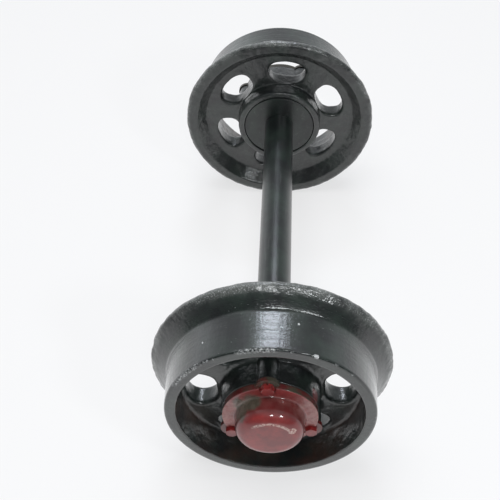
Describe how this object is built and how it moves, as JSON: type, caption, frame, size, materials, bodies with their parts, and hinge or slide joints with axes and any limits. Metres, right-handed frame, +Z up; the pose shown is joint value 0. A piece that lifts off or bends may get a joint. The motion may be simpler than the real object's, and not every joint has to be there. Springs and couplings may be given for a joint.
{
  "type": "mine car wheelset",
  "caption": "Fixed axle carrying a flanged, windowed wheel at each end on sealed taper roller bearings, each hub closed by a domed bolted cap.",
  "frame": {"origin": "middle of the axle, on its axis", "axes": "+Y along the axle towards side b, +Z up, +X across the track's direction of travel"},
  "size_m": [0.35, 0.8284, 0.35],
  "materials": {
    "wheel_paint": "gloss paint on a cast and turned surface",
    "cap_paint": "gloss paint",
    "screw_paint": "gloss paint",
    "axle_paint": "gloss paint",
    "gasket": "fibre gasket, painted over at its edge",
    "seal_rubber": "matt",
    "bearing_steel": "ground",
    "cage_steel": "pressed",
    "plain_steel": "machined"
  },
  "bodies": {
    "axle": {"axle": "axle_paint", "dust_disc_a": "axle_paint", "inner_cone_a": "bearing_steel", "outer_cone_a": "bearing_steel", "tongued_washer_a": "plain_steel", "castle_nut_a": "plain_steel", "split_pin_a": "plain_steel", "dust_disc_b": "axle_paint", "inner_cone_b": "bearing_steel", "outer_cone_b": "bearing_steel", "tongued_washer_b": "plain_steel", "castle_nut_b": "plain_steel", "split_pin_b": "plain_steel"},
    "wheel_a": {"wheel_a": "wheel_paint", "bearing_cap_a": "cap_paint", "cap_gasket_a": "gasket", "cap_screws_a": "screw_paint", "spring_washers_a": "screw_paint", "oil_seal_a": "seal_rubber", "inner_cup_a": "bearing_steel", "outer_cup_a": "bearing_steel"},
    "inner_rollers_a": {"inner_rollers_a": "bearing_steel", "inner_cage_a": "cage_steel"},
    "outer_rollers_a": {"outer_rollers_a": "bearing_steel", "outer_cage_a": "cage_steel"},
    "wheel_b": {"wheel_b": "wheel_paint", "bearing_cap_b": "cap_paint", "cap_gasket_b": "gasket", "cap_screws_b": "screw_paint", "spring_washers_b": "screw_paint", "oil_seal_b": "seal_rubber", "inner_cup_b": "bearing_steel", "outer_cup_b": "bearing_steel"},
    "inner_rollers_b": {"inner_rollers_b": "bearing_steel", "inner_cage_b": "cage_steel"},
    "outer_rollers_b": {"outer_rollers_b": "bearing_steel", "outer_cage_b": "cage_steel"}
  },
  "joints": [
    {"name": "wheel_a_turn", "type": "hinge", "parent": "axle", "child": "wheel_a", "pos_m": [0, -0.324, 0], "axis": [0, 1, 0], "continuous": true},
    {"name": "inner_rollers_a_turn", "type": "hinge", "parent": "axle", "child": "inner_rollers_a", "pos_m": [0, -0.324, 0], "axis": [0, 1, 0], "continuous": true},
    {"name": "outer_rollers_a_turn", "type": "hinge", "parent": "axle", "child": "outer_rollers_a", "pos_m": [0, -0.324, 0], "axis": [0, 1, 0], "continuous": true},
    {"name": "wheel_b_turn", "type": "hinge", "parent": "axle", "child": "wheel_b", "pos_m": [0, 0.324, 0], "axis": [0, 1, 0], "continuous": true},
    {"name": "inner_rollers_b_turn", "type": "hinge", "parent": "axle", "child": "inner_rollers_b", "pos_m": [0, 0.324, 0], "axis": [0, 1, 0], "continuous": true},
    {"name": "outer_rollers_b_turn", "type": "hinge", "parent": "axle", "child": "outer_rollers_b", "pos_m": [0, 0.324, 0], "axis": [0, 1, 0], "continuous": true}
  ],
  "couplings": [
    {"joint": "inner_rollers_a_turn", "follows": "wheel_a_turn", "ratio": 0.5898},
    {"joint": "outer_rollers_a_turn", "follows": "wheel_a_turn", "ratio": 0.5931},
    {"joint": "inner_rollers_b_turn", "follows": "wheel_b_turn", "ratio": 0.5898},
    {"joint": "outer_rollers_b_turn", "follows": "wheel_b_turn", "ratio": 0.5931}
  ]
}
